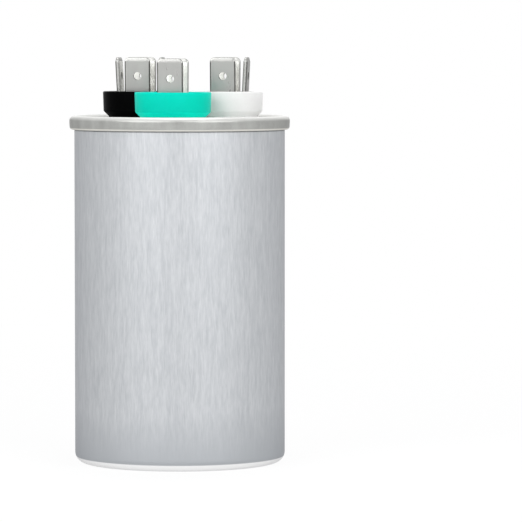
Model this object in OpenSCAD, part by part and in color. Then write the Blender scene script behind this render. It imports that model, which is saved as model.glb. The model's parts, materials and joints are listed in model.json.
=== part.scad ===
// Dual motor run capacitor: round double-seamed can with three terminal cups.
// Origin at the centre of the can's bottom, +Z up, millimetres.

/* [Can] */
// Outer diameter of the can's straight wall
can_d = 39.4; // [38:0.1:46]
// Height from the can's bottom to the top of the seam
can_h = 65; // [55:0.5:110]
// Thickness of the can's wall
can_t = 0.35; // [0.25:0.01:0.45]
// Thickness of the can's floor
can_floor = 0.6; // [0.4:0.05:1]
// Outer radius of the can's bottom edge
can_corner = 2; // [1:0.1:3]
// How far the wall is squeezed in where it enters the seam
neck_in = 0.22; // [0.05:0.01:0.3]

/* [Lid and double seam] */
// Thickness of the lid's sheet
lid_t = 0.37; // [0.25:0.01:0.4]
// Height of the seam
seam_h = 2.6; // [2.3:0.05:3.2]
// Gap between the seam's layers, filled by sealing compound
seam_gap = 0.04; // [0.02:0.005:0.05]
// Wall left bare under the seam before the neck starts
neck_below = 0.3; // [0.2:0.05:0.6]
// Depth of the lid's flat panel below the top of the seam
panel_drop = 0.8; // [0.5:0.05:1.2]
// Depth of the countersink groove below the top of the seam
groove_drop = 2.8; // [2.4:0.05:3.4]
// Clear width of the countersink groove
groove_w = 1.2; // [0.8:0.05:1.5]
// Inner radius of the lid's bends
lid_bend = 0.3; // [0.2:0.05:0.4]

/* [Terminal cups] */
// Outer diameter of a cup at its lip
cup_d = 14.2; // [13:0.1:14.5]
// Height of a cup above the lid
cup_h = 5.3; // [4:0.1:7]
// Thickness of a cup's wall
cup_wall = 1.1; // [0.8:0.05:1.3]
// Thickness of a cup's floor
cup_floor = 1.5; // [1.2:0.1:2]
// Height of the narrow foot under a cup
cup_foot = 0.6; // [0.3:0.05:0.8]
// Size of the 45 degree chamfer round a cup's bottom
cup_chamfer = 1; // [0.6:0.1:1.3]
// How much narrower a cup is above its chamfer than at its lip, on the radius
cup_draft = 0.12; // [0.05:0.01:0.2]
// Rounding of a cup's lip
cup_lip = 0.25; // [0.1:0.05:0.4]
// Rounding inside, where a cup's wall meets its floor
cup_fillet = 0.5; // [0.3:0.1:0.8]
// Clear distance between neighbouring cups
cup_gap = 1.9; // [1.5:0.1:2.4]
// Diameter of the spigot that passes through the lid
spigot_d = 6.4; // [5.4:0.1:7]

/* [Tabs] */
// Width of a tab
tab_w = 4.8; // [4:0.1:5.2]
// Thickness of a tab and its base plate
tab_t = 0.8; // [0.5:0.05:0.9]
// Length of the common and compressor tabs above the cup's lip
tab_out = 6.4; // [5.5:0.1:9]
// Length of the fan tabs above the cup's lip
fan_tab_out = 6.2; // [5.5:0.1:9]
// How much wider a tab's foot and arm are than the tab, on each side
tab_shoulder = 0.2; // [0.1:0.05:0.3]
// Gap between an arm's side and the bend of the next arm
arm_gap = 0.17; // [0.1:0.01:0.3]
// Outward lean of a tab, in degrees
tab_lean = 2.9; // [0:0.1:4]
// Inner radius of the bend between base plate and tab
tab_bend = 0.5; // [0.3:0.05:0.6]
// Height of the thinned bevel at a tab's tip
tip_bevel = 0.75; // [0.5:0.05:1]
// Width of the bevels along a tab's edges
edge_bevel = 0.28; // [0.15:0.01:0.4]
// Thickness left at the outer edge of the bevels
edge_t = 0.36; // [0.3:0.01:0.45]
// Radius of a tab's upper corners
tab_corner = 0.85; // [0.5:0.05:1.2]
// Diameter of the latching hole in a tab
tab_hole = 1.5; // [1.2:0.05:1.8]
// Distance of the latching hole below the tip
hole_drop = 3.5; // [3:0.1:4]
// The same distance on the fan tabs
fan_hole_drop = 3.7; // [3:0.1:4]

/* [Rivets, seals and lugs] */
// Diameter of a rivet's shank
rivet_d = 3; // [2.4:0.1:3.4]
// Diameter of a rivet's domed head
head_d = 4.4; // [4:0.1:4.8]
// Height of a rivet's domed head
head_h = 0.9; // [0.6:0.05:1]
// Diameter of a rivet's closed end
tail_d = 4.2; // [3.8:0.1:4.5]
// Height of a rivet's closed end
tail_h = 0.7; // [0.5:0.05:1]
// Outer diameter of a seal
seal_d = 11; // [10:0.1:12]
// Thickness of a seal, squeezed
seal_t = 0.8; // [0.6:0.05:1.2]
// Outer diameter of an insulating washer
washer_d = 10; // [9:0.1:11]
// Thickness of an insulating washer
washer_t = 1; // [0.6:0.1:1.4]
// Diameter of a solder lug's round end
lug_d = 5.6; // [5:0.1:6]
// Width of a solder lug's tail
lug_w = 3.4; // [3.2:0.1:4]
// Thickness of a solder lug
lug_t = 0.5; // [0.3:0.05:0.8]
// How far a lug's tail reaches past its lead
lug_past = 0.6; // [0.4:0.1:1]

/* [Leads] */
// Width of a lead strip
lead_w = 3; // [2:0.1:3.2]
// Thickness of a lead strip
lead_t = 0.3; // [0.2:0.05:0.4]
// Inner radius of a lead's bends
lead_bend = 0.4; // [0.3:0.05:0.6]
// Distance of the common lead from the can's axis
common_lead_u = 1.5; // [1:0.1:1.8]
// Distance of the fan lead from the inner edge of its end spray
fan_lead_in = 1.45; // [1.35:0.05:1.75]
// Distance of the compressor lead from the outer edge of its end spray
herm_lead_in = 3.7; // [3.3:0.1:4.2]
// Length of the common lead's foot under the winding
common_foot = 7; // [5:0.5:10]
// Length of the compressor lead's foot on its end spray
herm_foot = 4; // [3:0.5:4.5]

/* [Winding] */
// Space between the top of the film and the top of the seam
head_room = 11; // [10:0.5:16]
// Outer diameter of the core tube
core_d = 8; // [7.6:0.1:8.4]
// Wall of the core tube
core_wall = 1; // [0.8:0.05:1.2]
// Thickness of the fan section's roll
fan_build = 3.5; // [3:0.1:5]
// Thickness of the film wrap between the sections
barrier_t = 0.3; // [0.2:0.05:0.6]
// How far that wrap stands above the end sprays
barrier_over = 0.5; // [0.3:0.05:0.7]
// Thickness of the sprayed metal ends
spray_t = 0.4; // [0.2:0.05:0.6]
// Gap between the layers of the roll
roll_gap = 0.05; // [0.03:0.01:0.1]

/* [Insulation] */
// Thickness of the sleeve inside the can
liner_t = 0.4; // [0.3:0.05:0.6]
// How far the sleeve stands above the top insulator
liner_over = 1; // [0:0.1:2]
// Thickness of the bottom insulator's upright rim
rim_t = 0.65; // [0.5:0.05:0.9]
// Height of that rim above its base
rim_h = 4; // [3:0.1:8]
// Number of ribs that the winding stands on
ribs = 6; // [3:1:6]
// Height of those ribs
rib_h = 1.2; // [0.9:0.1:2]
// Thickness of those ribs
rib_t = 1; // [0.8:0.1:1.4]
// Thickness of the top insulator's plate
disc_t = 1; // [0.6:0.1:1.6]
// Height of the top insulator's foot ring
disc_foot = 1; // [0.9:0.05:1.5]
// Width of that foot ring
disc_foot_w = 1.2; // [0.8:0.1:1.6]
// Clearance of pieces that slide into one another
slide_gap = 0.1; // [0.05:0.01:0.15]
// Clearance round a rivet's shank
shank_gap = 0.05; // [0.03:0.01:0.1]
// Clearance round a lead in its slot
slot_gap = 0.4; // [0.3:0.05:0.5]

/* [Hidden] */
$fn = 96;
over = 1; // how far a cutter runs past what it cuts

// Seam: the can's flange and the lid's curl turn about the same centre.
can_r = can_d / 2;
can_in = can_r - can_t;
neck_r = can_r - neck_in;
flange_bend = (lid_t + 2 * seam_gap) / 2;
curl_bend = (can_t + 2 * seam_gap) / 2;
seam_bend = flange_bend + can_t + seam_gap;
seam_r = neck_r + flange_bend;
seam_top = can_h - lid_t - seam_bend;
curl_r = seam_r + seam_bend - curl_bend;
seam_z = can_h - seam_h;
curl_z = seam_z + lid_t + curl_bend;
neck_z = seam_z - neck_below;
rim_r = seam_r + seam_bend + lid_t;
compound_gap = seam_gap / 2;
bead_sides = 12; // flat sides round a whole bead of sealing compound

// Lid
chuck_r = seam_r - seam_bend - lid_t;
panel_z = can_h - panel_drop;
panel_r = chuck_r - groove_w - lid_t - lid_bend;
groove_z = can_h - groove_drop + lid_bend;
under_lid = panel_z - lid_t;

// Cups stand in a triangle about the can's axis, the fan's at the front.
cup_r = cup_d / 2;
cup_circle = (cup_d + cup_gap) / sqrt(3);
common_a = 150;
fan_a = -90;
herm_a = 30;
cup_in = cup_r - cup_wall;
cup_low = cup_r - cup_draft;
cup_top = panel_z + cup_h;
cup_base = panel_z + cup_floor;
chamfer_z = panel_z + cup_foot;
spigot_r = spigot_d / 2;
spigot_end = under_lid - seal_t + slide_gap;

// Tabs
rivet_r = rivet_d / 2;
shank_hole = rivet_r + shank_gap;
plate_top = cup_base + tab_t;
bend_z = plate_top + tab_bend;
bend_mid = tab_bend + tab_t / 2;
foot_z = bend_z - bend_mid * sin(tab_lean);
arm_w = tab_w + 2 * tab_shoulder;
bend_u = arm_w / 2 + arm_gap;
shoulder_h = 0.6; // height of the wide foot above the bend
bevel_from = 1.5; // height of a tab's foot that has no bevel
bend_steps = 8;

// Stack under the lid
washer_z = under_lid - seal_t - washer_t;
lug_z = washer_z - lug_t;
tail_z = lug_z - tail_h;

// Insulation and winding, from the can's floor up
corner_in = can_corner - can_t;
base_cut = corner_in + slide_gap;
base_top = can_floor + base_cut;
liner_r = can_in - slide_gap;
liner_in = liner_r - liner_t;
rim_out = liner_in - slide_gap;
rim_in = rim_out - rim_t;
rib_in = 5; // inner ends of the bottom ribs, measured from the axis
spray_low = base_top + rib_h;
film_low = spray_low + spray_t;
film_top = can_h - head_room;
spray_top = film_top + spray_t;
core_r = core_d / 2;
fan_in = core_r + roll_gap;
fan_out = fan_in + fan_build;
barrier_in = fan_out + roll_gap;
herm_in = barrier_in + barrier_t + roll_gap;
herm_out = rim_in - 2 * slide_gap;
disc_low = spray_top + disc_foot;
disc_top = disc_low + disc_t;

// Leads
foot_past = 0.15; // gap between a lead's upper foot and the rivet's end
near_foot = cup_circle - tail_d / 2 - foot_past;
far_foot = cup_circle + tail_d / 2 + foot_past;
fan_lead_u = fan_in + fan_lead_in;
fan_foot_end = sqrt(pow(fan_out, 2) - pow(lead_w / 2, 2)) - slide_gap;
herm_lead_u = herm_out - herm_lead_in;

// --- Outlines in the r-z plane ---

// Straight stretch of sheet between two corners
module leg(r0, z0, r1, z1) {
    translate([r0, z0]) square([r1 - r0, z1 - z0]);
}

// Quarter turn of sheet about (r, z); quadrant 0 lies towards +r and +z
module elbow(r, z, inner, t, quadrant) {
    translate([r, z]) intersection() {
        difference() {
            circle(inner + t);
            circle(inner);
        }
        rotate(90 * quadrant) square(inner + t + over);
    }
}

// Quarter disc about (r, z)
module quarter(r, z, radius, quadrant) {
    translate([r, z]) intersection() {
        circle(radius);
        rotate(90 * quadrant) square(radius + over);
    }
}

// Block from the axis out to r, with its lower outer edge rounded
module round_block(r, z0, z1, radius) {
    leg(0, z0, r - radius, z1);
    leg(r - radius, z0 + radius, r, z1);
    quarter(r - radius, z0 + radius, radius, 3);
}

module ring(r0, r1, z0, z1) {
    rotate_extrude() leg(r0, z0, r1, z1);
}

// Places a piece on a cup's axis, square to the can's own axes
module at_cup(angle) {
    translate([cup_circle * cos(angle), cup_circle * sin(angle), 0]) children();
}

// --- Can, lid and seam ---

module can() {
    color("silver") rotate_extrude() {
        difference() {
            round_block(can_r, 0, neck_z, can_corner);
            round_block(can_in, can_floor, neck_z + over, corner_in);
        }
        polygon([
            [can_in, neck_z], [can_r, neck_z],
            [neck_r, neck_z + neck_in], [neck_r - can_t, neck_z + neck_in]
        ]);
        leg(neck_r - can_t, neck_z + neck_in, neck_r, seam_top);
        for (q = [0, 1]) elbow(seam_r, seam_top, flange_bend, can_t, q);
        leg(seam_r + flange_bend, curl_z, seam_r + flange_bend + can_t, seam_top);
    }
}

module lid_section() {
    wall_r = panel_r + lid_bend;
    leg(0, under_lid, panel_r, panel_z);
    elbow(panel_r, under_lid - lid_bend, lid_bend, lid_t, 0);
    leg(wall_r, groove_z, wall_r + lid_t, under_lid - lid_bend);
    elbow(wall_r + lid_t + lid_bend, groove_z, lid_bend, lid_t, 2);
    leg(wall_r + lid_t + lid_bend, groove_z - lid_bend - lid_t,
        chuck_r - lid_bend, groove_z - lid_bend);
    elbow(chuck_r - lid_bend, groove_z, lid_bend, lid_t, 3);
    leg(chuck_r, groove_z, chuck_r + lid_t, seam_top);
    for (q = [0, 1]) elbow(seam_r, seam_top, seam_bend, lid_t, q);
    leg(rim_r - lid_t, curl_z, rim_r, seam_top);
    for (q = [2, 3]) elbow(curl_r, curl_z, curl_bend, lid_t, q);
    leg(curl_r - curl_bend - lid_t, curl_z, curl_r - curl_bend, seam_top);
}

module lid() {
    color("gainsboro") difference() {
        rotate_extrude() lid_section();
        for (a = [common_a, fan_a, herm_a]) at_cup(a)
            translate([0, 0, under_lid - over])
                cylinder(r = spigot_r + slide_gap, h = lid_t + 2 * over);
    }
}

// Sealing compound fills the round pocket at the end of each hook
module seam_compound() {
    color("dimgray") rotate_extrude() {
        for (q = [0, 1]) quarter(seam_r, seam_top, flange_bend - compound_gap, q, $fn = bead_sides);
        for (q = [2, 3]) quarter(curl_r, curl_z, curl_bend - compound_gap, q, $fn = bead_sides);
    }
}

// --- Terminal cups ---

module cup_section() {
    difference() {
        union() {
            leg(0, spigot_end, spigot_r, panel_z);
            leg(0, panel_z, cup_low - cup_chamfer, chamfer_z);
            polygon([
                [0, chamfer_z], [cup_low - cup_chamfer, chamfer_z],
                [cup_low, chamfer_z + cup_chamfer], [cup_r, cup_top - cup_lip], [0, cup_top - cup_lip]
            ]);
            leg(0, cup_top - cup_lip, cup_r - cup_lip, cup_top);
            quarter(cup_r - cup_lip, cup_top - cup_lip, cup_lip, 0);
        }
        leg(0, spigot_end - over, shank_hole, cup_top);
        round_block(cup_in, cup_base, cup_top + over, cup_fillet);
        difference() {
            leg(0, cup_top - cup_lip, cup_in + cup_lip, cup_top + over);
            translate([cup_in + cup_lip, cup_top - cup_lip]) circle(cup_lip);
        }
    }
}

module cup(angle, shade) {
    color(shade) at_cup(angle) rotate_extrude() cup_section();
}

// --- Terminals: a flat plate with tabs bent up from its arms ---

// Point at height s along a tab and d out from its middle plane
function on_tab(d, s) = [
    bend_u + (bend_mid + d) * cos(tab_lean) + s * sin(tab_lean),
    foot_z - d * sin(tab_lean) + s * cos(tab_lean)
];

// Points round the bend at the given radius
function bend_arc(radius) = [
    for (i = [0 : bend_steps]) let (a = -90 + i * (90 - tab_lean) / bend_steps)
        [bend_u + radius * cos(a), bend_z + radius * sin(a)]
];

function reversed(points) = [for (i = [len(points) - 1 : -1 : 0]) points[i]];

// Plate, bend and tab from the side; the tip's taper runs on until it is trimmed
module arm_side(length) {
    tip_past = edge_t / 4 * tip_bevel / ((tab_t - edge_t) / 2);
    polygon(concat(
        [[0, cup_base]],
        bend_arc(tab_bend + tab_t),
        [on_tab(tab_t / 2, length - tip_bevel), on_tab(edge_t / 4, length + tip_past)],
        [on_tab(-edge_t / 4, length + tip_past), on_tab(-tab_t / 2, length - tip_bevel)],
        reversed(bend_arc(tab_bend)),
        [[0, plate_top]]
    ));
}

// A tab from the front, with rounded upper corners
module tab_front(length) {
    y = tab_w / 2;
    leg(-y, 0, y, length - tab_corner);
    leg(-y + tab_corner, length - tab_corner, y - tab_corner, length);
    quarter(y - tab_corner, length - tab_corner, tab_corner, 0);
    quarter(-y + tab_corner, length - tab_corner, tab_corner, 1);
}

// What is cut from a tab's upright edge to bevel it on one side
module edge_cut(length) {
    slope = (tab_t - edge_t) / 2 / edge_bevel;
    y = tab_w / 2;
    translate([0, 0, bevel_from]) linear_extrude(length) polygon([
        [tab_t / 2 + slope * edge_bevel, y - 2 * edge_bevel],
        [tab_t / 2 + slope * edge_bevel, y + edge_bevel],
        [edge_t / 2 - slope * edge_bevel / 2, y + edge_bevel / 2]
    ]);
}

// Stands a piece on a tab's foot, leaning as the tab does
module on_foot() {
    translate([bend_u + bend_mid * cos(tab_lean), 0, foot_z])
        rotate([0, tab_lean, 0]) children();
}

// An arm of the plate with its tab, pointing along +X; out is the tab's length above the lip
module arm(out, drop) {
    length = (cup_top + out - foot_z) / cos(tab_lean);
    difference() {
        intersection() {
            rotate([90, 0, 0]) linear_extrude(arm_w + over, center = true) arm_side(length);
            union() {
                on_foot() rotate([90, 0, 90])
                    linear_extrude(tab_t + over, center = true) tab_front(length);
                translate([-over, -arm_w / 2, cup_base - over])
                    cube([bend_u + bend_mid + tab_t + over, arm_w, foot_z + shoulder_h - cup_base + over]);
            }
        }
        on_foot() {
            for (y = [0, 1], x = [0, 1]) mirror([0, y, 0]) mirror([x, 0, 0]) edge_cut(length);
            translate([0, 0, length - drop]) rotate([0, 90, 0])
                cylinder(d = tab_hole, h = tab_t + over, center = true);
        }
    }
}

module terminal(angle, arms, out = tab_out, drop = hole_drop) {
    color("lightgray") at_cup(angle) difference() {
        union() {
            for (a = arms) rotate(a) arm(out, drop);
            translate([-arm_w / 2, -arm_w / 2, cup_base]) cube([arm_w, arm_w, tab_t]);
        }
        translate([0, 0, cup_base - over]) cylinder(r = shank_hole, h = tab_t + 2 * over);
    }
}

// --- Rivets, seals, washers and lugs ---

module rivet(angle) {
    head_r = head_d / 2;
    dome_r = (head_r * head_r + head_h * head_h) / (2 * head_h);
    color("silver") at_cup(angle) rotate_extrude() {
        intersection() {
            translate([0, plate_top + head_h - dome_r]) circle(dome_r);
            leg(0, plate_top, head_r + over, plate_top + head_h + over);
        }
        leg(0, lug_z, rivet_r, plate_top);
        polygon([
            [0, tail_z], [rivet_r, tail_z], [tail_d / 2, tail_z + tail_h / 2],
            [tail_d / 2, lug_z], [0, lug_z]
        ]);
    }
}

module seal(angle) {
    edge_r = seal_d / 2 - seal_t / 2;
    color("black") at_cup(angle) rotate_extrude() {
        leg(spigot_r + slide_gap, under_lid - seal_t, edge_r, under_lid);
        for (q = [0, 3]) quarter(edge_r, under_lid - seal_t / 2, seal_t / 2, q);
    }
}

module washer(angle) {
    color("linen") at_cup(angle) ring(shank_hole, washer_d / 2, washer_z, washer_z + washer_t);
}

// side is -1 for a tail towards the can's axis and 1 for one away from it
module lug(angle, lead_u, side) {
    tail = side * (lead_u - cup_circle) + lug_past;
    color("lightgray") at_cup(angle) rotate(side > 0 ? angle : angle + 180)
        translate([0, 0, lug_z]) linear_extrude(lug_t) difference() {
            union() {
                circle(d = lug_d);
                translate([0, -lug_w / 2]) square([tail, lug_w]);
            }
            circle(shank_hole);
        }
}

// --- Leads: strips bent at both ends, standing at u from the can's axis ---

// side is 1 for feet that point away from the axis and -1 for feet towards it
module lead(angle, u, side, top_foot, low_foot, low_z) {
    bend_x = lead_t / 2 + lead_bend;
    color("gainsboro") rotate(angle) translate([u, 0, 0]) scale([side, 1, 1])
        rotate([90, 0, 0]) linear_extrude(lead_w, center = true) {
            leg(bend_x, lug_z - lead_t, top_foot, lug_z);
            elbow(bend_x, lug_z - lead_t - lead_bend, lead_bend, lead_t, 1);
            leg(-lead_t / 2, low_z + lead_t + lead_bend, lead_t / 2, lug_z - lead_t - lead_bend);
            elbow(bend_x, low_z + lead_t + lead_bend, lead_bend, lead_t, 2);
            leg(bend_x, low_z, low_foot, low_z + lead_t);
        }
}

// --- Winding ---

module core_tube() {
    color("white") ring(core_r - core_wall, core_r, spray_low, disc_top);
}

module fan_winding() {
    color("lightsteelblue") ring(fan_in, fan_out, film_low, film_top);
}

module section_barrier() {
    color("khaki") ring(barrier_in, barrier_in + barrier_t, film_low, spray_top + barrier_over);
}

module herm_winding() {
    color("lightsteelblue") ring(herm_in, herm_out, film_low, film_top);
}

module end_spray_fan() {
    color("gray") ring(fan_in, fan_out, film_top, spray_top);
}

module end_spray_herm() {
    color("gray") ring(herm_in, herm_out, film_top, spray_top);
}

module end_spray_common() {
    color("gray") ring(fan_in, herm_out, spray_low, film_low);
}

// --- Insulation ---

module liner() {
    color("tan") ring(liner_in, liner_r, base_top, disc_top + liner_over);
}

module bottom_insulator() {
    color("ivory") {
        rotate_extrude() {
            polygon([
                [0, can_floor], [liner_r - base_cut, can_floor],
                [liner_r, base_top], [0, base_top]
            ]);
            leg(rim_in, base_top, rim_out, base_top + rim_h);
        }
        for (i = [0 : ribs - 1]) rotate(i * 360 / ribs)
            translate([rib_in, -rib_t / 2, base_top - rib_t / 2])
                cube([rim_in + rim_t / 2 - rib_in, rib_t, rib_h + rib_t / 2]);
    }
}

module lead_slot(angle, u) {
    rotate(angle) translate([u, 0, disc_low + disc_t / 2])
        cube([lead_t + 2 * slot_gap, lead_w + 2 * slot_gap, disc_t + 2 * over], center = true);
}

module top_insulator() {
    foot_r = herm_out - slide_gap;
    color("ivory") difference() {
        rotate_extrude() {
            leg(core_r + slide_gap, disc_low, rim_out, disc_top);
            leg(foot_r - disc_foot_w, spray_top, foot_r, disc_low);
        }
        lead_slot(fan_a, fan_lead_u);
        lead_slot(herm_a, herm_lead_u);
    }
}

can();
lid();
seam_compound();
cup(common_a, "black");  // cup_common
cup(fan_a, "turquoise");  // cup_fan
cup(herm_a, "white");  // cup_herm
terminal(common_a, [0, 90, 180, 270]);  // terminal_common
terminal(fan_a, [90, 270], fan_tab_out, fan_hole_drop);  // terminal_fan
terminal(herm_a, [0, 90, 270]);  // terminal_herm
rivet(common_a);  // rivet_common
rivet(fan_a);  // rivet_fan
rivet(herm_a);  // rivet_herm
seal(common_a);  // seal_common
seal(fan_a);  // seal_fan
seal(herm_a);  // seal_herm
washer(common_a);  // washer_common
washer(fan_a);  // washer_fan
washer(herm_a);  // washer_herm
lug(common_a, common_lead_u, -1);  // lug_common
lug(fan_a, fan_lead_u, -1);  // lug_fan
lug(herm_a, herm_lead_u, 1);  // lug_herm
lead(common_a, common_lead_u, 1, near_foot - common_lead_u, common_foot, spray_low - lead_t);  // lead_common
lead(fan_a, fan_lead_u, 1, near_foot - fan_lead_u, fan_foot_end - fan_lead_u, spray_top);  // lead_fan
lead(herm_a, herm_lead_u, -1, herm_lead_u - far_foot, herm_foot, spray_top);  // lead_herm
top_insulator();
end_spray_fan();
end_spray_herm();
end_spray_common();
fan_winding();
section_barrier();
herm_winding();
core_tube();
bottom_insulator();
liner();
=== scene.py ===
# Dual motor run capacitor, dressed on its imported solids.
# The pieces and the camera are in millimetres and degrees, the floor and the lamps in metres.
import json
import math

import bmesh
import bpy
from mathutils import Matrix, Vector


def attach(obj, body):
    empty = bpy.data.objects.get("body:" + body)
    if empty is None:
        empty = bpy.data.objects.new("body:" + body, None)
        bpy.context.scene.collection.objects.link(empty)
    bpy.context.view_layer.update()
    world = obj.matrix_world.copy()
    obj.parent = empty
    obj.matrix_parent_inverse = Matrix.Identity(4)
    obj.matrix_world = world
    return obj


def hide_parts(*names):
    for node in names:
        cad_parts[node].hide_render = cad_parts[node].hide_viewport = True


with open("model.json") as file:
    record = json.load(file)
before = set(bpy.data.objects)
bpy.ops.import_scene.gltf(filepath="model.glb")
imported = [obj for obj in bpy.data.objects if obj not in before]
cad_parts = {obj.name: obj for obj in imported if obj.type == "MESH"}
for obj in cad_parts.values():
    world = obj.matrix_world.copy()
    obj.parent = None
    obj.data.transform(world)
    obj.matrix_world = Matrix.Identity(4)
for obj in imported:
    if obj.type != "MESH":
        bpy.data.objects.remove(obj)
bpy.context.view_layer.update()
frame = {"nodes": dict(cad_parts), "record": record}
scene = bpy.context.scene
mm = 0.001

# a long lens level with the tabs' tips, looking slightly down
view = {
    "azimuth": 7.6,  # round the can from its front
    "distance": 720,
    "height": 78,
    "yaw": 1.212,
    "pitch": 3.202,
    "lens": 265,
    "sensor": 36,
    "clip": (10, 20000),
}


def makeCamera(v):
    data = bpy.data.cameras.new("camera")
    data.lens = v["lens"]
    data.sensor_width = v["sensor"]
    data.clip_start, data.clip_end = (end * mm for end in v["clip"])
    camera = bpy.data.objects.new("camera", data)
    turn = math.radians(v["azimuth"])
    reach = v["distance"] * mm
    camera.location = (reach * math.sin(turn), -reach * math.cos(turn), v["height"] * mm)
    camera.rotation_euler = (
        math.radians(90 - v["pitch"]),
        0,
        turn - math.radians(v["yaw"]),
    )
    scene.collection.objects.link(camera)
    scene.camera = camera


makeCamera(view)
print("camera set")

# what a finish has where its own look doesn't say
plainLook = {
    "metallic": 0,
    "gloss": 0.5,
    "edgeTint": (1, 1, 1),
    "translucent": 0,
    "lightReach": (1, 1, 1),  # how far red, green and blue light spreads inside
    "stretch": (1, 1, 1),
    "turned": False,
    "mix": 0.4,  # the finer noise's share
    "bump": 0.2,
    "bumpDepth": 0.02,
    "tones": [],
}
noiseSpread = {"roughness": 0.6, "low": 0.3, "high": 0.7}
mixColours = {"low": 6, "high": 7, "result": 2}  # the Mix node's colour sockets, by their places


def addNode(tree, kind, **inputs):
    node = tree.nodes.new(kind)
    for socket, value in inputs.items():
        node.inputs[socket].default_value = value
    return node


def startFinish(name, look):
    finish = bpy.data.materials.new(name)
    finish.use_nodes = True
    tree = finish.node_tree
    shader = tree.nodes["Principled BSDF"]
    shader.inputs["Metallic"].default_value = look["metallic"]
    shader.inputs["Specular IOR Level"].default_value = look["gloss"]
    # an edge tint under 1 darkens the reflection towards the silhouette: painted shade on the
    # edges
    shader.inputs["Specular Tint"].default_value = (*look["edgeTint"], 1)
    shader.inputs["Subsurface Weight"].default_value = look["translucent"]
    shader.inputs["Subsurface Scale"].default_value = mm
    shader.inputs["Subsurface Radius"].default_value = look["lightReach"]
    return finish, tree, shader


def ringSpace(tree, place):
    # X is the distance from the can's axis, Z the height
    split = tree.nodes.new("ShaderNodeSeparateXYZ")
    flat = tree.nodes.new("ShaderNodeCombineXYZ")
    radius = tree.nodes.new("ShaderNodeVectorMath")
    radius.operation = "LENGTH"
    ring = tree.nodes.new("ShaderNodeCombineXYZ")
    tree.links.new(place, split.inputs["Vector"])
    tree.links.new(split.outputs["X"], flat.inputs["X"])
    tree.links.new(split.outputs["Y"], flat.inputs["Y"])
    tree.links.new(flat.outputs["Vector"], radius.inputs[0])
    tree.links.new(radius.outputs["Value"], ring.inputs["X"])
    tree.links.new(split.outputs["Z"], ring.inputs["Z"])
    return ring.outputs["Vector"]


def grainSpace(tree, look):
    # even grain, grain drawn out by the stretch, or turned grain that runs round the can's axis
    coords = tree.nodes.new("ShaderNodeTexCoord")
    mapping = addNode(tree, "ShaderNodeMapping", Scale=look["stretch"])
    tree.links.new(coords.outputs["Object"], mapping.inputs["Vector"])
    space = mapping.outputs["Vector"]
    return ringSpace(tree, space) if look["turned"] else space


def spreadTo(tree, amount, low, high, fromLow=0, fromHigh=1):
    spread = tree.nodes.new("ShaderNodeMapRange")
    spread.inputs["From Min"].default_value = fromLow
    spread.inputs["From Max"].default_value = fromHigh
    spread.inputs["To Min"].default_value = low
    spread.inputs["To Max"].default_value = high
    tree.links.new(amount, spread.inputs["Value"])
    return spread.outputs["Result"]


def addNoise(tree, space, scale, detail):
    # noise, spread out to the whole of 0 to 1
    noise = addNode(tree, "ShaderNodeTexNoise", Scale=scale, Detail=detail)
    noise.inputs["Roughness"].default_value = noiseSpread["roughness"]
    tree.links.new(space, noise.inputs["Vector"])
    return spreadTo(tree, noise.outputs["Fac"], 0, 1, noiseSpread["low"], noiseSpread["high"])


def blendValues(tree, a, b, share):
    mix = tree.nodes.new("ShaderNodeMix")
    mix.data_type = "FLOAT"
    mix.inputs["Factor"].default_value = share
    tree.links.new(a, mix.inputs["A"])
    tree.links.new(b, mix.inputs["B"])
    return mix.outputs["Result"]


def blendColours(tree, amount, low, high):
    mix = tree.nodes.new("ShaderNodeMix")
    mix.data_type = "RGBA"
    for end, colour in (("low", low), ("high", high)):
        place = mix.inputs[mixColours[end]]
        if isinstance(colour, bpy.types.NodeSocket):
            tree.links.new(colour, place)
        else:
            place.default_value = (*colour, 1)
    tree.links.new(amount, mix.inputs["Factor"])
    return mix.outputs[mixColours["result"]]


def addTones(tree, tones, colour):
    # each goes over to a colour along X or Z of ring space, from a start to where it is full
    coords = tree.nodes.new("ShaderNodeTexCoord")
    split = tree.nodes.new("ShaderNodeSeparateXYZ")
    tree.links.new(ringSpace(tree, coords.outputs["Object"]), split.inputs["Vector"])
    for axis, start, full, tone in tones:
        amount = spreadTo(tree, split.outputs[axis], 0, 1, start * mm, full * mm)
        colour = blendColours(tree, amount, colour, tone)
    return colour


def dressShader(tree, shader, look, grain, height):
    # the grain runs from dark to light and from smoother to rougher, and the height bumps it
    colour = blendColours(tree, grain, look["dark"], look["light"])
    if look["tones"]:
        colour = addTones(tree, look["tones"], colour)
    tree.links.new(colour, shader.inputs["Base Color"])
    tree.links.new(spreadTo(tree, grain, *look["rough"]), shader.inputs["Roughness"])
    bump = addNode(tree, "ShaderNodeBump", Strength=look["bump"], Distance=look["bumpDepth"] * mm)
    tree.links.new(height, bump.inputs["Height"])
    tree.links.new(bump.outputs["Normal"], shader.inputs["Normal"])


def makeFinish(name, look):
    # a broad and a fine noise make the grain, and only the fine one bumps it
    finish, tree, shader = startFinish(name, look)
    space = grainSpace(tree, look)
    broad = addNoise(tree, space, look["broad"], detail=3)
    fine = addNoise(tree, space, look["fine"], detail=1)
    grain = blendValues(tree, broad, fine, look["mix"])
    dressShader(tree, shader, look, grain, fine)
    return finish


canFinishLook = {
    "metallic": 0.55,
    "gloss": 0.15,
    # painted shade: the dark edge tint darkens the can towards its sides
    "edgeTint": (0.3, 0.3, 0.32),
    "stretch": (1, 1, 0.11),
    "dark": (0.385, 0.4, 0.42),
    "light": (0.55, 0.563, 0.578),
    "streak": 1700,  # noise to the metre, here and in the looks below
    "hairline": 4800,
    "mix": 0.5,
    "rough": (0.42, 0.5),
    "bump": 0.25,
    "bumpDepth": 0.012,
    "tones": [
        # painted shade: darker towards the bottom, from 11 mm down to 1.2 mm
        ("Z", 11, 1.2, (0.378, 0.394, 0.414)),
        # painted reflection: a light band round the bottom corner
        ("Z", 1.32, 1.15, (0.85, 0.85, 0.85)),
    ],
}


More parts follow.
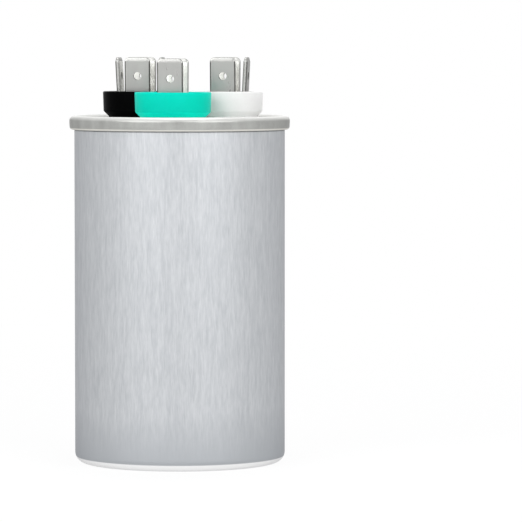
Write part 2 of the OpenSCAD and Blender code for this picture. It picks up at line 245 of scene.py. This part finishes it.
def makeCanFinish(look):
    # drawn aluminium brushed up and down, painted darker towards the bottom as shade, with a
    # painted reflection as a light band round its bottom corner
    finish, tree, shader = startFinish("brushedAluminium", look)
    space = grainSpace(tree, look)
    streak = addNoise(tree, space, look["streak"], detail=4)
    hairline = addNoise(tree, space, look["hairline"], detail=3)
    grain = blendValues(tree, streak, hairline, look["mix"])
    dressShader(tree, shader, look, grain, grain)
    return finish


looks = {
    "tinPlate": {
        "metallic": 0.4,
        "gloss": 0.15,
        # painted shade: the dark edge tint darkens the seam towards its silhouette
        "edgeTint": (0.15, 0.15, 0.14),
        "stretch": (1, 1, 0.5),
        "dark": (0.3, 0.303, 0.29),
        "light": (0.405, 0.41, 0.395),
        "tones": [
            # painted shade: the seam's outer face keeps the darker tin, and the lid inside 19.9 mm
            # from the axis goes over to a lighter tin
            ("X", 20.3, 19.9, (0.62, 0.62, 0.6)),
            # painted highlight: the seam's top goes lighter from 64.2 mm up
            ("Z", 64.2, 65.0, (0.8, 0.8, 0.78)),
            # painted reflection: the seam's lower lip goes pale below 62.8 mm
            ("Z", 62.8, 62.68, (0.72, 0.71, 0.66)),
        ],
        "broad": 380,
        "fine": 5000,
        "mix": 0.2,
        "rough": (0.3, 0.38),
        "bump": 0.05,
        "bumpDepth": 0.008,
    },
    "tabTin": {
        "metallic": 0.6,
        # painted shade: the dark edge tint darkens the tabs towards their edges
        "edgeTint": (0.25, 0.25, 0.24),
        "dark": (0.385, 0.385, 0.373),
        "light": (0.415, 0.415, 0.402),
        "stretch": (1, 1, 0.4),
        "broad": 350,
        "fine": 3000,
        "mix": 0.1,
        "rough": (0.26, 0.34),
        "bump": 0.04,
        "bumpDepth": 0.006,
    },
    # painted reflection: a lighter copy of the tab tin for the tabs' inner faces
    "paintedLitTin": {
        "metallic": 0.6,
        "edgeTint": (0.5, 0.5, 0.48),
        "dark": (0.72, 0.72, 0.69),
        "light": (0.78, 0.78, 0.75),
        "stretch": (1, 1, 0.4),
        "broad": 350,
        "fine": 3000,
        "mix": 0.1,
        "rough": (0.24, 0.32),
        "bump": 0.04,
        "bumpDepth": 0.006,
    },
    # painted shade: a dark copy of the tab tin for the outer bevels, also the sheared walls of the
    # holes
    "shearedTinAndPaintedShade": {
        "metallic": 0.6,
        "edgeTint": (0.25, 0.25, 0.24),
        "dark": (0.08, 0.08, 0.076),
        "light": (0.14, 0.14, 0.133),
        "broad": 900,
        "fine": 4000,
        "rough": (0.35, 0.5),
    },
    "rivetTin": {
        "metallic": 0.8,
        "dark": (0.55, 0.55, 0.54),
        "light": (0.72, 0.72, 0.7),
        "broad": 900,
        "fine": 5000,
        "rough": (0.3, 0.45),
    },
    "blackPlastic": {
        "gloss": 0.01,
        "dark": (0.0008, 0.0008, 0.0009),
        "light": (0.0018, 0.0018, 0.002),
        "broad": 300,
        "fine": 2600,
        "rough": (0.34, 0.46),
        "bump": 0.12,
        "bumpDepth": 0.01,
    },
    "tealPlastic": {
        "gloss": 0.03,
        "translucent": 0.5,
        "lightReach": (1, 5, 4),
        "dark": (0.001, 0.58, 0.435),
        "light": (0.003, 0.62, 0.465),
        # painted light: the chamfer under 65.7 mm goes lighter, as if lit from below
        "tones": [("Z", 65.9, 65.7, (0.004, 0.92, 0.66))],
        "broad": 260,
        "fine": 2600,
        "rough": (0.34, 0.46),
        "bump": 0.12,
        "bumpDepth": 0.01,
    },
    "whitePlastic": {
        "gloss": 0.3,
        "translucent": 0.4,
        "lightReach": (4, 4, 4),
        "dark": (0.8, 0.8, 0.79),
        "light": (0.84, 0.84, 0.83),
        # painted light: the chamfer under 65.7 mm goes lighter, as if lit from below
        "tones": [("Z", 65.9, 65.7, (0.95, 0.95, 0.94))],
        "broad": 260,
        "fine": 2600,
        "rough": (0.34, 0.46),
        "bump": 0.12,
        "bumpDepth": 0.01,
    },
    "sealRubber": {
        "gloss": 0.3,
        "dark": (0.02, 0.02, 0.02),
        "light": (0.045, 0.045, 0.045),
        "broad": 500,
        "fine": 4000,
        "rough": (0.55, 0.75),
    },
    "sealingCompound": {
        "dark": (0.09, 0.09, 0.1),
        "light": (0.16, 0.16, 0.17),
        "broad": 800,
        "fine": 5000,
        "rough": (0.45, 0.65),
    },
    "naturalPlastic": {
        "gloss": 0.4,
        "dark": (0.76, 0.73, 0.64),
        "light": (0.86, 0.84, 0.77),
        "broad": 250,
        "fine": 3000,
        "rough": (0.35, 0.5),
    },
    "tinnedCopper": {
        "metallic": 0.9,
        "dark": (0.6, 0.59, 0.56),
        "light": (0.76, 0.76, 0.74),
        "broad": 700,
        "fine": 5000,
        "rough": (0.25, 0.45),
    },
    "sprayedZinc": {
        "metallic": 0.7,
        "dark": (0.3, 0.3, 0.31),
        "light": (0.52, 0.52, 0.53),
        "broad": 1500,
        "fine": 6000,
        "mix": 0.6,
        "rough": (0.6, 0.85),
        "bump": 0.6,
        "bumpDepth": 0.06,
    },
    "woundFilm": {
        "metallic": 0.6,
        "turned": True,
        "dark": (0.42, 0.47, 0.53),
        "light": (0.6, 0.65, 0.71),
        "broad": 3000,
        "fine": 14000,
        "rough": (0.15, 0.3),
        "bumpDepth": 0.01,
    },
    "filmWrap": {
        "turned": True,
        "dark": (0.7, 0.66, 0.42),
        "light": (0.82, 0.78, 0.56),
        "broad": 1500,
        "fine": 9000,
        "rough": (0.15, 0.3),
        "bumpDepth": 0.01,
    },
    "linerBoard": {
        "gloss": 0.2,
        "stretch": (1, 1, 0.15),
        "dark": (0.5, 0.4, 0.27),
        "light": (0.68, 0.58, 0.43),
        "broad": 600,
        "fine": 5000,
        "rough": (0.7, 0.9),
        "bump": 0.3,
        "bumpDepth": 0.03,
    },
    "coreTube": {
        "gloss": 0.4,
        "stretch": (1, 1, 0.1),
        "dark": (0.8, 0.8, 0.79),
        "light": (0.88, 0.88, 0.87),
        "broad": 500,
        "fine": 4000,
        "rough": (0.35, 0.5),
    },
}
finishes = {name: makeFinish(name, plainLook | look) for name, look in looks.items()}
finishes["brushedAluminium"] = makeCanFinish(plainLook | canFinishLook)

slotFinishes = {
    "can_aluminium": "brushedAluminium",
    "tin_plate": "tinPlate",
    "cup_black": "blackPlastic",
    "cup_teal": "tealPlastic",
    "cup_white": "whitePlastic",
    "tinned_brass": "tabTin",
    "rivet_metal": "rivetTin",
    "seal_rubber": "sealRubber",
    "compound": "sealingCompound",
    "insulator": "naturalPlastic",
    "tinned_copper": "tinnedCopper",
    "sprayed_zinc": "sprayedZinc",
    "film": "woundFilm",
    "film_wrap": "filmWrap",
    "liner_board": "linerBoard",
    "core_plastic": "coreTube",
}
for part in frame["record"]["subparts"]:
    mesh = frame["nodes"][part["node"]].data
    mesh.materials.clear()
    mesh.materials.append(finishes[slotFinishes[part["material_slot"]]])
print("finishes made:", len(finishes))

mergeGap = 0.0005  # for the points that a spin leaves on its axis


def bevelOff(bm, parts, offset, steps, affect="EDGES", clamp=False):
    bmesh.ops.bevel(
        bm,
        geom=parts,
        offset=offset * mm,
        offset_type="OFFSET",
        affect=affect,
        segments=steps,
        profile=0.5,
        material=-1,
        clamp_overlap=clamp,
    )


def addDrill(bm, radius, depth, segments, place):
    bmesh.ops.create_cone(
        bm,
        cap_ends=True,
        segments=segments,
        radius1=radius * mm,
        radius2=radius * mm,
        depth=depth * mm,
        matrix=place,
    )


def spinOutline(outline, c, closed=False):
    # each corner is radius, height and, where it is rounded, how far back the round starts
    bm = bmesh.new()
    corners = [bm.verts.new((point[0] * mm, 0, point[1] * mm)) for point in outline]
    for start, end in zip(corners, corners[1:]):
        bm.edges.new((start, end))
    if closed:
        bm.edges.new((corners[-1], corners[0]))
    for corner, point in zip(corners, outline):
        if len(point) > 2:
            bevelOff(bm, [corner], point[2], c["arcSteps"], affect="VERTICES", clamp=True)
    bmesh.ops.spin(
        bm,
        geom=bm.verts[:] + bm.edges[:],
        cent=(0, 0, 0),
        axis=(0, 0, 1),
        angle=math.tau,
        steps=c["segments"],
        use_merge=True,
    )
    bmesh.ops.remove_doubles(bm, verts=bm.verts, dist=mergeGap * mm)
    bmesh.ops.recalc_face_normals(bm, faces=bm.faces)
    return bm


def asObject(name, bm):
    mesh = bpy.data.meshes.new(name)
    bm.to_mesh(mesh)
    bm.free()
    piece = bpy.data.objects.new(name, mesh)
    scene.collection.objects.link(piece)
    return piece


def cutAway(bm, cutter):
    # takes the cutter out of the shape for good
    body, tool = asObject("body", bm), asObject("tool", cutter)
    cut = body.modifiers.new("cut", "BOOLEAN")
    cut.operation = "DIFFERENCE"
    cut.solver = "EXACT"
    cut.object = tool
    graph = bpy.context.evaluated_depsgraph_get()
    result = bmesh.new()
    result.from_object(body, graph)
    for spare in (body, tool):
        mesh = spare.data
        bpy.data.objects.remove(spare)
        bpy.data.meshes.remove(mesh)
    return result


def makePiece(name, bm, node, finish, centre=(0, 0), creaseFrom=40):
    bmesh.ops.translate(bm, verts=bm.verts, vec=(centre[0] * mm, centre[1] * mm, 0))
    for face in bm.faces:
        face.smooth = True
    for edge in bm.edges:
        edge.smooth = edge.calc_face_angle(0) < math.radians(creaseFrom)
    piece = asObject(name, bm)
    piece.data.materials.append(finishes[finish])
    shading = piece.modifiers.new("evenShading", "WEIGHTED_NORMAL")
    shading.keep_sharp = True
    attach(piece, "root")
    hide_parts(node)
    return piece


# the can, with the flange hook that the seam rolls in
can = {
    "radius": 19.7,
    "wall": 0.35,
    "floor": 0.6,
    "corner": 2.0,
    "neckHeight": 62.25,
    "neckIn": 0.22,
    "seamRadius": 19.705,
    "seamHeight": 64.015,
    "hookBend": 0.225,
    "hookEnd": 62.985,
    "arcSteps": 8,
    "segments": 160,
}


def makeCan(c):
    outer, wall = c["radius"], c["wall"]
    inner = outer - wall
    neck = outer - c["neckIn"]
    neckTop = c["neckHeight"] + c["neckIn"]
    bend, high = c["hookBend"], c["seamHeight"]
    hook = c["seamRadius"] + bend
    outline = [
        (0, 0),
        (outer, 0, c["corner"]),
        (outer, c["neckHeight"]),
        (neck, neckTop),
        (neck, high + bend, bend),
        (hook, high + bend, bend),
        (hook, c["hookEnd"]),
        (hook + wall, c["hookEnd"]),
        (hook + wall, high + bend + wall, bend + wall),
        (neck - wall, high + bend + wall, bend + wall),
        (neck - wall, neckTop),
        (inner, c["neckHeight"]),
        (inner, c["floor"], c["corner"] - wall),
        (0, c["floor"]),
    ]
    return spinOutline(outline, c)


makePiece("canShell", makeCan(can), "can", "brushedAluminium")
print("can made")

# the lid, with its part of the rolled double seam
lid = {
    "thickness": 0.37,
    "panelHeight": 64.2,
    "panelWall": 17.52,
    "grooveFloor": 62.2,
    "grooveBend": 0.3,
    "chuckRadius": 18.72,
    "top": 65.0,
    "rimRadius": 20.69,
    "seamLean": 0.12,  # how far the rollers press the seam's lower edge in
    "curlBottom": 62.4,
    "curlBend": 0.585,
    "hookBend": 0.5265,
    "innerBend": 0.2,
    "hookFace": 19.52,
    "hookTop": 64.015,
    "spigotHole": 3.25,
    "drillDepth": 2,
    "drillSegments": 64,
    "arcSteps": 8,
    "segments": 192,
}
cupCircle = 9.295
cupHeadings = {"common": 150, "fan": 270, "herm": 30}
cupCentres = {
    section: (cupCircle * math.cos(math.radians(turn)), cupCircle * math.sin(math.radians(turn)))
    for section, turn in cupHeadings.items()
}


def makeLid(c):
    t = c["thickness"]
    chuck, rim, low = c["chuckRadius"], c["rimRadius"], c["rimRadius"] - c["seamLean"]
    seamRound = (rim - chuck) / 2
    tight, wide = c["grooveBend"], c["grooveBend"] + t
    outline = [
        (0, c["panelHeight"]),
        (c["panelWall"], c["panelHeight"], wide),
        (c["panelWall"], c["grooveFloor"], tight),
        (chuck, c["grooveFloor"], tight),
        (chuck, c["top"], seamRound),
        (rim, c["top"], seamRound),
        (low, c["curlBottom"], c["curlBend"]),
        (c["hookFace"], c["curlBottom"], c["hookBend"]),
        (c["hookFace"], c["hookTop"]),
        (c["hookFace"] + t, c["hookTop"]),
        (c["hookFace"] + t, c["curlBottom"] + t, c["innerBend"]),
        (low - t, c["curlBottom"] + t, c["innerBend"]),
        (rim - t, c["top"] - t, seamRound - t),
        (chuck + t, c["top"] - t, seamRound - t),
        (chuck + t, c["grooveFloor"] - t, wide),
        (c["panelWall"] - t, c["grooveFloor"] - t, wide),
        (c["panelWall"] - t, c["panelHeight"] - t, tight),
        (0, c["panelHeight"] - t),
    ]
    bm = spinOutline(outline, c)
    drills = bmesh.new()
    for x, y in cupCentres.values():
        place = Matrix.Translation((x * mm, y * mm, c["panelHeight"] * mm))
        addDrill(drills, c["spigotHole"], c["drillDepth"], c["drillSegments"], place)
    return cutAway(bm, drills)


makePiece("lidAndSeam", makeLid(lid), "lid", "tinPlate")
print("lid made")

# terminal cups, each with a spigot through the lid
cup = {
    "spigot": 3.2,
    "spigotEnd": 63.13,
    "foot": 5.98,
    "footBase": lid["panelHeight"],
    "footRound": 0.06,
    "chamferFrom": 64.8,
    "chamferTo": 65.8,
    "lowRadius": 6.98,
    "radius": 7.1,
    "lip": 69.5,
    "lipRound": 0.25,
    "bore": 6.0,
    "boreFloor": 65.7,
    "boreRound": 0.5,
    "rivetHole": 1.55,
    "edgeRound": 0.12,
    "arcSteps": 5,
    "segments": 128,
}


def makeCup(c):
    outline = [
        (c["spigot"], c["spigotEnd"]),
        (c["spigot"], c["footBase"]),
        (c["foot"], c["footBase"], c["footRound"]),
        (c["foot"], c["chamferFrom"], c["edgeRound"]),
        (c["lowRadius"], c["chamferTo"], c["edgeRound"]),
        (c["radius"], c["lip"], c["lipRound"]),
        (c["bore"], c["lip"], c["lipRound"]),
        (c["bore"], c["boreFloor"], c["boreRound"]),
        (c["rivetHole"], c["boreFloor"]),
        (c["rivetHole"], c["spigotEnd"]),
    ]
    return spinOutline(outline, c, closed=True)


cupFinishes = {
    "common": ("blackPlastic", "cup_black"),
    "fan": ("tealPlastic", "cup_teal"),
    "herm": ("whitePlastic", "cup_white"),
}
for section, centre in cupCentres.items():
    finish, slot = cupFinishes[section]
    makePiece("cup." + section, makeCup(cup), "cup_" + section, finish, centre)
print("cups made")

# push-on tabs, bent up from a flat cross
tab = {
    "armWidth": 5.2,
    "plateBase": cup["boreFloor"],
    "thickness": 0.8,
    "bendFrom": 2.77,
    "bendInner": 0.5,
    "bendSteps": 10,
    "lean": 2.9,
    "width": 4.8,
    "shoulder": 0.6,
    "neck": 0.15,  # the height in which the arm narrows to the tab
    "bevelFrom": 1.5,
    "roundFrom": 1.55,
    "corner": 0.85,
    "cornerSteps": 7,
    "edgeBevel": 0.22,
    "edgeRound": 0.09,
    "edgeSteps": 2,
    "tipBevel": 0.75,
    "hole": 1.5,
    "holeSegments": 40,
    "drillDepth": 3,
    "drillSegments": 48,
    "paintedTinFrom": 67.1,
    "creaseFrom": 25,
}
# what tells a tab's edges and faces apart
signs = {
    "slack": 0.01,  # millimetres
    "faceDepth": 0.49,  # shares of the thickness, from the middle
    "sideDepth": 0.45,
    "sharpFold": 1,  # radians
    "slightFold": 0.15,
    "innerFace": -0.985,  # the outward part of a normal
    "outerBevel": (0.3, 0.8),
}
tabFinishes = ("tabTin", "paintedLitTin", "shearedTinAndPaintedShade")
crosses = {
    "common": {"arms": (0, 90, 180, 270), "tip": 75.9, "holeDrop": 3.5},
    "fan": {"arms": (90, 270), "tip": 75.7, "holeDrop": 3.7},
    "herm": {"arms": (0, 90, 270), "tip": 75.9, "holeDrop": 3.5},
}


def pullFace(bm, face, move, widen=1.0):
    # extrudes one face straight out, and widens or narrows it across the arm
    end = bmesh.ops.extrude_discrete_faces(bm, faces=[face])["faces"][0]
    bmesh.ops.translate(bm, verts=end.verts, vec=move)
    if widen != 1:
        bmesh.ops.scale(bm, verts=end.verts, vec=(1, widen, 1))
    return end


def placeArm(c, tip):
    # how an arm along +X stands once it is bent up
    lean = math.radians(c["lean"])
    along = Vector((math.sin(lean), 0, math.cos(lean)))
    across = Vector((math.cos(lean), 0, -math.sin(lean)))
    bendAt = Vector((c["bendFrom"], 0, c["plateBase"] + c["thickness"] + c["bendInner"])) * mm
    foot = bendAt + across * (c["bendInner"] + c["thickness"] / 2) * mm
    length = (tip * mm - foot.z) / along.z
    return {"bendAt": bendAt, "foot": foot, "along": along, "across": across, "length": length}


def riseOf(arm, v):
    return (v.co - arm["foot"]).dot(arm["along"])


def depthOf(arm, v):
    return abs((v.co - arm["foot"]).dot(arm["across"]))


def drawArm(bm, c, arm):
    # pulls the hub's +X side out, bends it up and pulls it on to the tip
    hubSide = Vector((c["armWidth"] / 2, 0, c["plateBase"] + c["thickness"] / 2)) * mm
    side = min(bm.faces, key=lambda face: (face.calc_center_median() - hubSide).length)
    end = pullFace(bm, side, ((c["bendFrom"] - c["armWidth"] / 2) * mm, 0, 0))
    bent = bmesh.ops.spin(
        bm,
        geom=[end],
        cent=arm["bendAt"],
        axis=(0, -1, 0),
        angle=math.pi / 2 - math.radians(c["lean"]),
        steps=c["bendSteps"],
        use_merge=False,
    )
    bmesh.ops.delete(bm, geom=[end], context="FACES_ONLY")  # the spin leaves its first face inside
    end = [part for part in bent["geom_last"] if isinstance(part, bmesh.types.BMFace)][0]
    along = arm["along"]
    end = pullFace(bm, end, along * c["shoulder"] * mm)
    end = pullFace(bm, end, along * c["neck"] * mm, c["width"] / c["armWidth"])
    end = pullFace(bm, end, along * (c["bevelFrom"] - c["shoulder"] - c["neck"]) * mm)
    return pullFace(bm, end, along * (arm["length"] - c["bevelFrom"] * mm))


def foldedEdges(bm, c, arm, start, fold):
    # this arm's edges above a start that fold by more than an angle
    return [
        edge
        for edge in bm.edges
        if edge.verts[0].co.x > c["bendFrom"] * mm
        and min(riseOf(arm, v) for v in edge.verts) > start * mm
        and edge.calc_face_angle(0) > fold
    ]


def shapeTip(bm, c, arm, end):
    # rounds the tip's corners and bevels the tab all round
    slack = signs["slack"]
    corners = []
    for edge in end.edges:
        if abs((edge.verts[0].co - edge.verts[1].co).y) < slack * mm:
            corners.append(edge)
    bevelOff(bm, corners, c["corner"], c["cornerSteps"])
    bm.normal_update()
    rim = foldedEdges(bm, c, arm, c["bevelFrom"] - slack, signs["sharpFold"])
    bevelOff(bm, rim, c["edgeBevel"], 1)
    # the tip's bevel runs further down the faces than the sides' bevels run in
    start = arm["length"] - c["corner"] * mm
    reach = (c["corner"] - c["edgeBevel"]) * mm
    drop = (c["tipBevel"] - c["edgeBevel"]) * mm
    onFace = signs["faceDepth"] * c["thickness"] * mm
    for v in bm.verts:
        if v.co.x > c["bendFrom"] * mm and riseOf(arm, v) > start and depthOf(arm, v) > onFace:
            v.co -= arm["along"] * drop * (riseOf(arm, v) - start) / reach


def roundEdges(bm, c, arm):
    # softens the edges between the bevels and the tab's sides and tip
    onSide = signs["sideDepth"] * c["thickness"] * mm
    outer = [
        edge
        for edge in foldedEdges(bm, c, arm, c["roundFrom"], signs["slightFold"])
        if max(depthOf(arm, v) for v in edge.verts) < onSide
        and abs((edge.verts[0].co - edge.verts[1].co).dot(arm["across"])) < signs["slack"] * mm
    ]
    bevelOff(bm, outer, c["edgeRound"], c["edgeSteps"], clamp=True)


def shareFinishes(shape, c, tip):
    # painted reflection as a lighter tin on the inner faces, and painted shade as a dark tin on
    # the outer bevels; in the holes the dark tin stands for their sheared walls
    low, high = signs["outerBevel"]
    for face in shape.faces:
        middle, normal = face.calc_center_median(), face.normal
        if middle.z < c["paintedTinFrom"] * mm:
            continue
        if abs(middle.x) > abs(middle.y):
            outward, aside = normal.x * math.copysign(1, middle.x), abs(middle.y)
        else:
            outward, aside = normal.y * math.copysign(1, middle.y), abs(middle.x)
        inHole = aside < c["hole"] * mm and middle.z < (tip - c["hole"]) * mm
        # painted reflection on the inner faces
        if outward < signs["innerFace"]:
            face.material_index = tabFinishes.index("paintedLitTin")
        # painted shade on the outer bevels, and the holes' sheared walls
        elif low < outward < high or (abs(outward) < low and inHole):
            face.material_index = tabFinishes.index("shearedTinAndPaintedShade")


def makeTerminal(c, cross):
    size = Matrix.Diagonal((c["armWidth"] * mm, c["armWidth"] * mm, c["thickness"] * mm, 1))
    centre = Matrix.Translation((0, 0, (c["plateBase"] + c["thickness"] / 2) * mm))
    bm = bmesh.new()
    bmesh.ops.create_cube(bm, size=1, matrix=centre @ size)
    drills = bmesh.new()
    addDrill(drills, cup["rivetHole"], c["drillDepth"], c["drillSegments"], centre)
    arm = placeArm(c, cross["tip"])
    holeAt = arm["foot"] + arm["along"] * (arm["length"] - cross["holeDrop"] * mm)
    across = arm["across"].to_track_quat("Z", "Y").to_matrix().to_4x4()
    for heading in cross["arms"]:
        turn = Matrix.Rotation(math.radians(heading), 4, "Z")
        bmesh.ops.rotate(bm, verts=bm.verts, cent=(0, 0, 0), matrix=turn.inverted())
        end = drawArm(bm, c, arm)
        shapeTip(bm, c, arm, end)
        roundEdges(bm, c, arm)
        place = turn @ Matrix.Translation(holeAt) @ across
        addDrill(drills, c["hole"] / 2, 2 * c["thickness"], c["holeSegments"], place)
        bmesh.ops.rotate(bm, verts=bm.verts, cent=(0, 0, 0), matrix=turn)
    bmesh.ops.recalc_face_normals(bm, faces=bm.faces)
    shape = cutAway(bm, drills)
    shareFinishes(shape, c, cross["tip"])
    return shape


for section, cross in crosses.items():
    tabs = makePiece(
        "tabs." + section,
        makeTerminal(tab, cross),
        "terminal_" + section,
        tabFinishes[0],
        cupCentres[section],
        tab["creaseFrom"],
    )
    for extra in tabFinishes[1:]:
        tabs.data.materials.append(finishes[extra])
print("tabs made")

# rivets, domed over the tabs' plates and closed under the lugs
rivet = {
    "shank": 1.5,
    "head": 2.2,
    "headHeight": 0.9,
    "headRound": 0.08,
    "domeShares": (0.8, 0.55, 0.25),  # of the head, from its edge in
    "seat": tab["plateBase"] + tab["thickness"],
    "tail": 2.1,
    "tailFrom": 60.83,
    "tailTo": 61.53,
    "arcSteps": 4,
    "segments": 64,
}


def makeRivet(c):
    head, rise = c["head"], c["headHeight"]
    dome = (head * head + rise * rise) / (2 * rise)
    domeFoot = c["seat"] + rise - dome
    outline = [
        (0, c["tailFrom"]),
        (c["shank"], c["tailFrom"]),
        (c["tail"], (c["tailFrom"] + c["tailTo"]) / 2),
        (c["tail"], c["tailTo"]),
        (c["shank"], c["tailTo"]),
        (c["shank"], c["seat"]),
        (head, c["seat"], c["headRound"]),
    ]
    for out in [head * share for share in c["domeShares"]]:
        outline.append((out, domeFoot + math.sqrt(dome**2 - out**2)))
    outline.append((0, c["seat"] + rise))
    return spinOutline(outline, c)


for section, centre in cupCentres.items():
    shape = makeRivet(rivet)
    makePiece("rivet." + section, shape, "rivet_" + section, "rivetTin", centre)
print("rivets made")

# glows white and takes a share of shadow, which fades out with the distance
floor = {
    "size": 12,
    "segments": 96,
    "bounce": 0.9,
    "shadowShare": 0.12,
    "fadeFrom": 0.08,
    "fadeTo": 0.35,
}


def whiteRays(tree):
    # 1 for the rays that should see a plain white surround
    path = tree.nodes.new("ShaderNodeLightPath")
    total = path.outputs["Is Camera Ray"]
    for kind in ("Is Glossy Ray", "Is Transmission Ray"):
        add = tree.nodes.new("ShaderNodeMath")
        add.operation = "MAXIMUM"
        tree.links.new(total, add.inputs[0])
        tree.links.new(path.outputs[kind], add.inputs[1])
        total = add.outputs["Value"]
    return total


def makeFloor(f):
    bm = bmesh.new()
    bmesh.ops.create_circle(bm, cap_ends=True, segments=f["segments"], radius=f["size"])
    piece = asObject("floor", bm)
    finish = bpy.data.materials.new("whiteFloor")
    finish.use_nodes = True
    tree = finish.node_tree
    tree.nodes.remove(tree.nodes["Principled BSDF"])
    output = tree.nodes["Material Output"]
    coords = tree.nodes.new("ShaderNodeTexCoord")
    radius = tree.nodes.new("ShaderNodeVectorMath")
    radius.operation = "LENGTH"
    tree.links.new(coords.outputs["Object"], radius.inputs[0])
    away = radius.outputs["Value"]
    share = spreadTo(tree, away, f["shadowShare"], 0, f["fadeFrom"], f["fadeTo"])
    glow = addNode(tree, "ShaderNodeEmission", Color=(1, 1, 1, 1))
    strength = spreadTo(tree, whiteRays(tree), f["bounce"], 1)
    tree.links.new(strength, glow.inputs["Strength"])
    matt = addNode(tree, "ShaderNodeBsdfDiffuse", Color=(1, 1, 1, 1))
    mix = tree.nodes.new("ShaderNodeMixShader")
    tree.links.new(share, mix.inputs["Fac"])
    tree.links.new(glow.outputs["Emission"], mix.inputs[1])
    tree.links.new(matt.outputs["BSDF"], mix.inputs[2])
    tree.links.new(mix.outputs["Shader"], output.inputs["Surface"])
    piece.data.materials.append(finish)


makeFloor(floor)

surround = {"fill": (0.3, 0.3, 0.31)}  # what lights the shaded sides


def makeSurround(s):
    world = bpy.data.worlds.new("surround")
    scene.world = world
    world.use_nodes = True
    tree = world.node_tree
    background = tree.nodes["Background"]
    white = blendColours(tree, whiteRays(tree), s["fill"], (1, 1, 1))
    tree.links.new(white, background.inputs["Color"])
    background.inputs["Strength"].default_value = 1


makeSurround(surround)

lamps = {
    "leftBox": {"at": (-0.2, -0.346, 0.22), "aimHeight": 0.06, "size": (0.4, 0.22), "watts": 1},
    "rightBox": {"at": (0.268, -0.297, 0.22), "aimHeight": 0.06, "size": (0.4, 0.22), "watts": 1},
    "topBox": {"at": (0, 0.1, 0.9), "aimHeight": 0.05, "size": (0.5, 0.5), "watts": 2.5},
    "backBox": {"at": (0, 0.5, 0.3), "aimHeight": 0.06, "size": (0.6, 0.4), "watts": 0.9},
}


def makeLamp(name, lamp):
    data = bpy.data.lights.new(name, "AREA")
    data.shape = "RECTANGLE"
    data.size, data.size_y = lamp["size"]
    data.energy = lamp["watts"]
    light = bpy.data.objects.new(name, data)
    light.location = lamp["at"]
    aim = Vector((0, 0, lamp["aimHeight"])) - Vector(lamp["at"])
    light.rotation_euler = aim.to_track_quat("-Z", "Y").to_euler()
    scene.collection.objects.link(light)


for name, lamp in lamps.items():
    makeLamp(name, lamp)
scene.view_settings.view_transform = "Standard"
print("floor and lights set")
